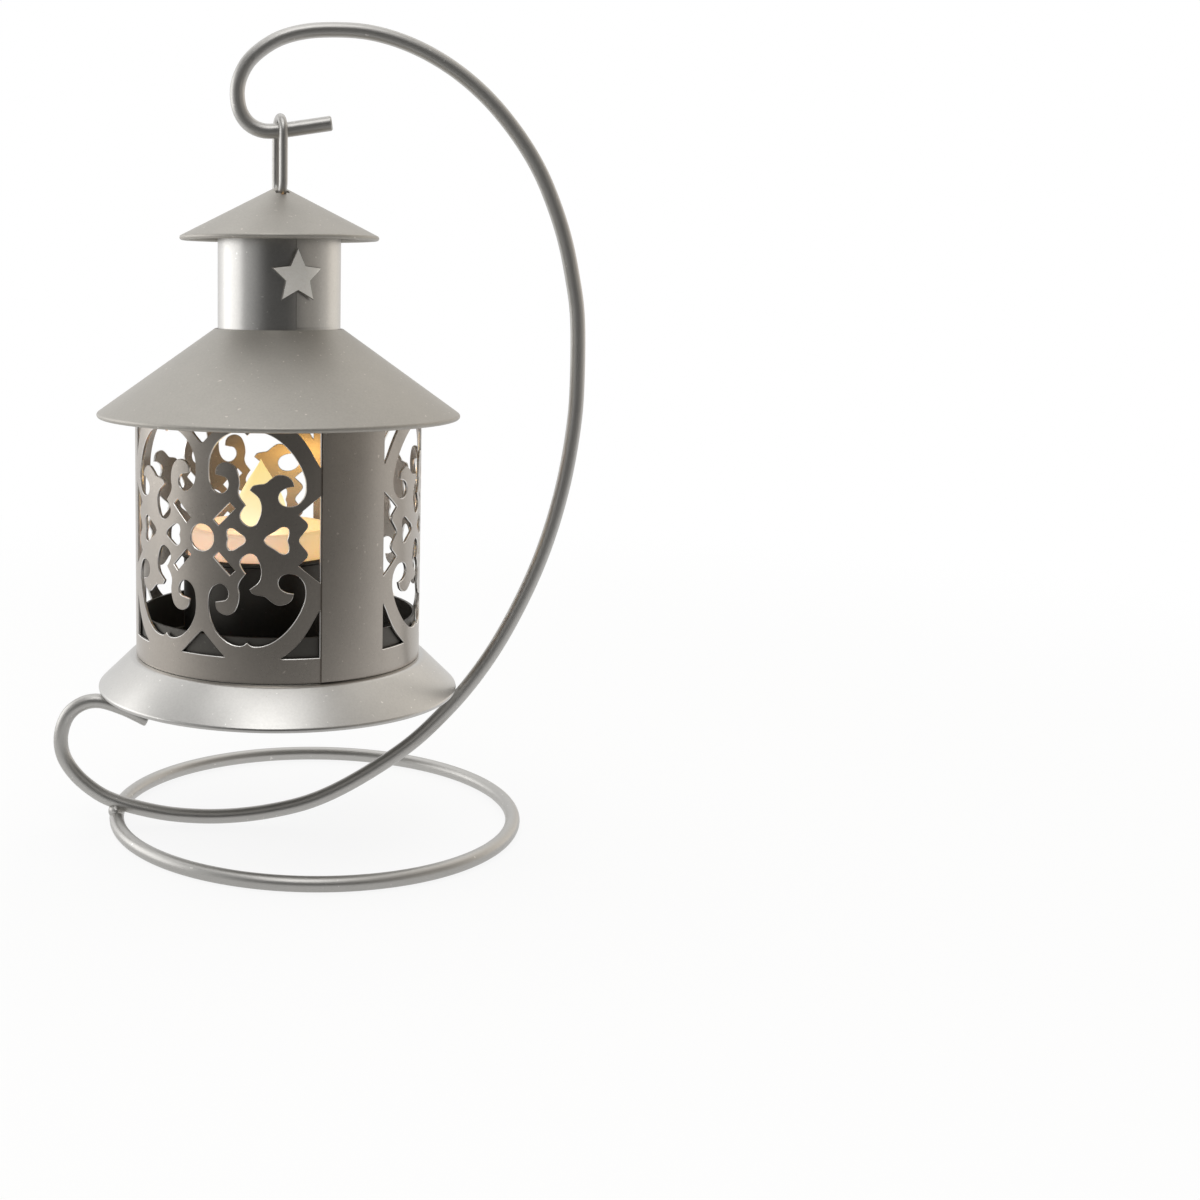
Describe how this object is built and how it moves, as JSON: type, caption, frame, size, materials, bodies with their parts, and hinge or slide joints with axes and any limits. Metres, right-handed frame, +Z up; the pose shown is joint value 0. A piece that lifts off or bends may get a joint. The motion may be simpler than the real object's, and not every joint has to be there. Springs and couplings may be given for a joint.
{
  "type": "hanging lantern candle holder on an S-shaped wire stand",
  "caption": "Pierced metal lantern with a small candle in its cup, hung by a wire link from an S-shaped wire stand on a ring foot.",
  "frame": {"origin": "centre of the ring foot, on the surface it stands on", "axes": "+Z up; +X towards the bow of the stand, away from the lantern; -Y towards the front, where the star and the lapped seam show"},
  "size_m": [0.1442, 0.1148, 0.2182],
  "materials": {
    "pewter_wire": "satin pewter plating",
    "pewter_sheet": "satin pewter plating",
    "candle_wax": "waxy, translucent",
    "flame": "translucent, lit from inside",
    "lamp_lens": "clear moulded",
    "white_plastic": "moulded",
    "cell_steel": "plain",
    "board_green": "lacquered"
  },
  "bodies": {
    "stand": {"bow_wire": "pewter_wire", "foot_wire": "pewter_wire", "base_ring": "pewter_wire"},
    "link": {"hanging_loop": "pewter_wire"},
    "lantern": {"cap_roof": "pewter_sheet", "chimney_tube": "pewter_sheet", "star_plate": "pewter_sheet", "main_roof": "pewter_sheet", "body_sheet": "pewter_sheet"},
    "base": {"base_skirt": "pewter_sheet", "base_pan": "pewter_sheet", "candle_cup": "pewter_sheet"},
    "candle": {"candle_shell": "candle_wax", "flame_tip": "flame", "lamp": "lamp_lens", "lamp_post": "white_plastic", "circuit_board": "board_green", "coin_cell": "cell_steel", "cell_contact": "cell_steel", "bottom_plate": "white_plastic"},
    "door": {"battery_door": "white_plastic"},
    "switch": {"switch_slider": "white_plastic"}
  },
  "joints": [
    {"name": "link_swing", "type": "hinge", "parent": "stand", "child": "link", "pos_m": [-0.0104, -0.006, 0.1901], "axis": [1, 0, 0], "range_deg": [-30, 30]},
    {"name": "lantern_swing", "type": "hinge", "parent": "link", "child": "lantern", "pos_m": [-0.0104, -0.006, 0.17235], "axis": [-0.2419, 0.9703, 0], "range_deg": [0, 15]},
    {"name": "base_turn", "type": "hinge", "parent": "lantern", "child": "base", "pos_m": [-0.0104, -0.006, 0.05], "axis": [0, 0, 1], "continuous": true},
    {"name": "candle_lift", "type": "slide", "parent": "base", "child": "candle", "axis": [0, 0, 1], "range_m": [0, 0.027]},
    {"name": "battery_door_twist", "type": "hinge", "parent": "candle", "child": "door", "pos_m": [-0.0152, -0.006, 0.0527], "axis": [0, 0, 1], "range_deg": [0, 30]},
    {"name": "switch_slide", "type": "slide", "parent": "candle", "child": "switch", "axis": [1, 0, 0], "range_m": [0, 0.002]}
  ]
}
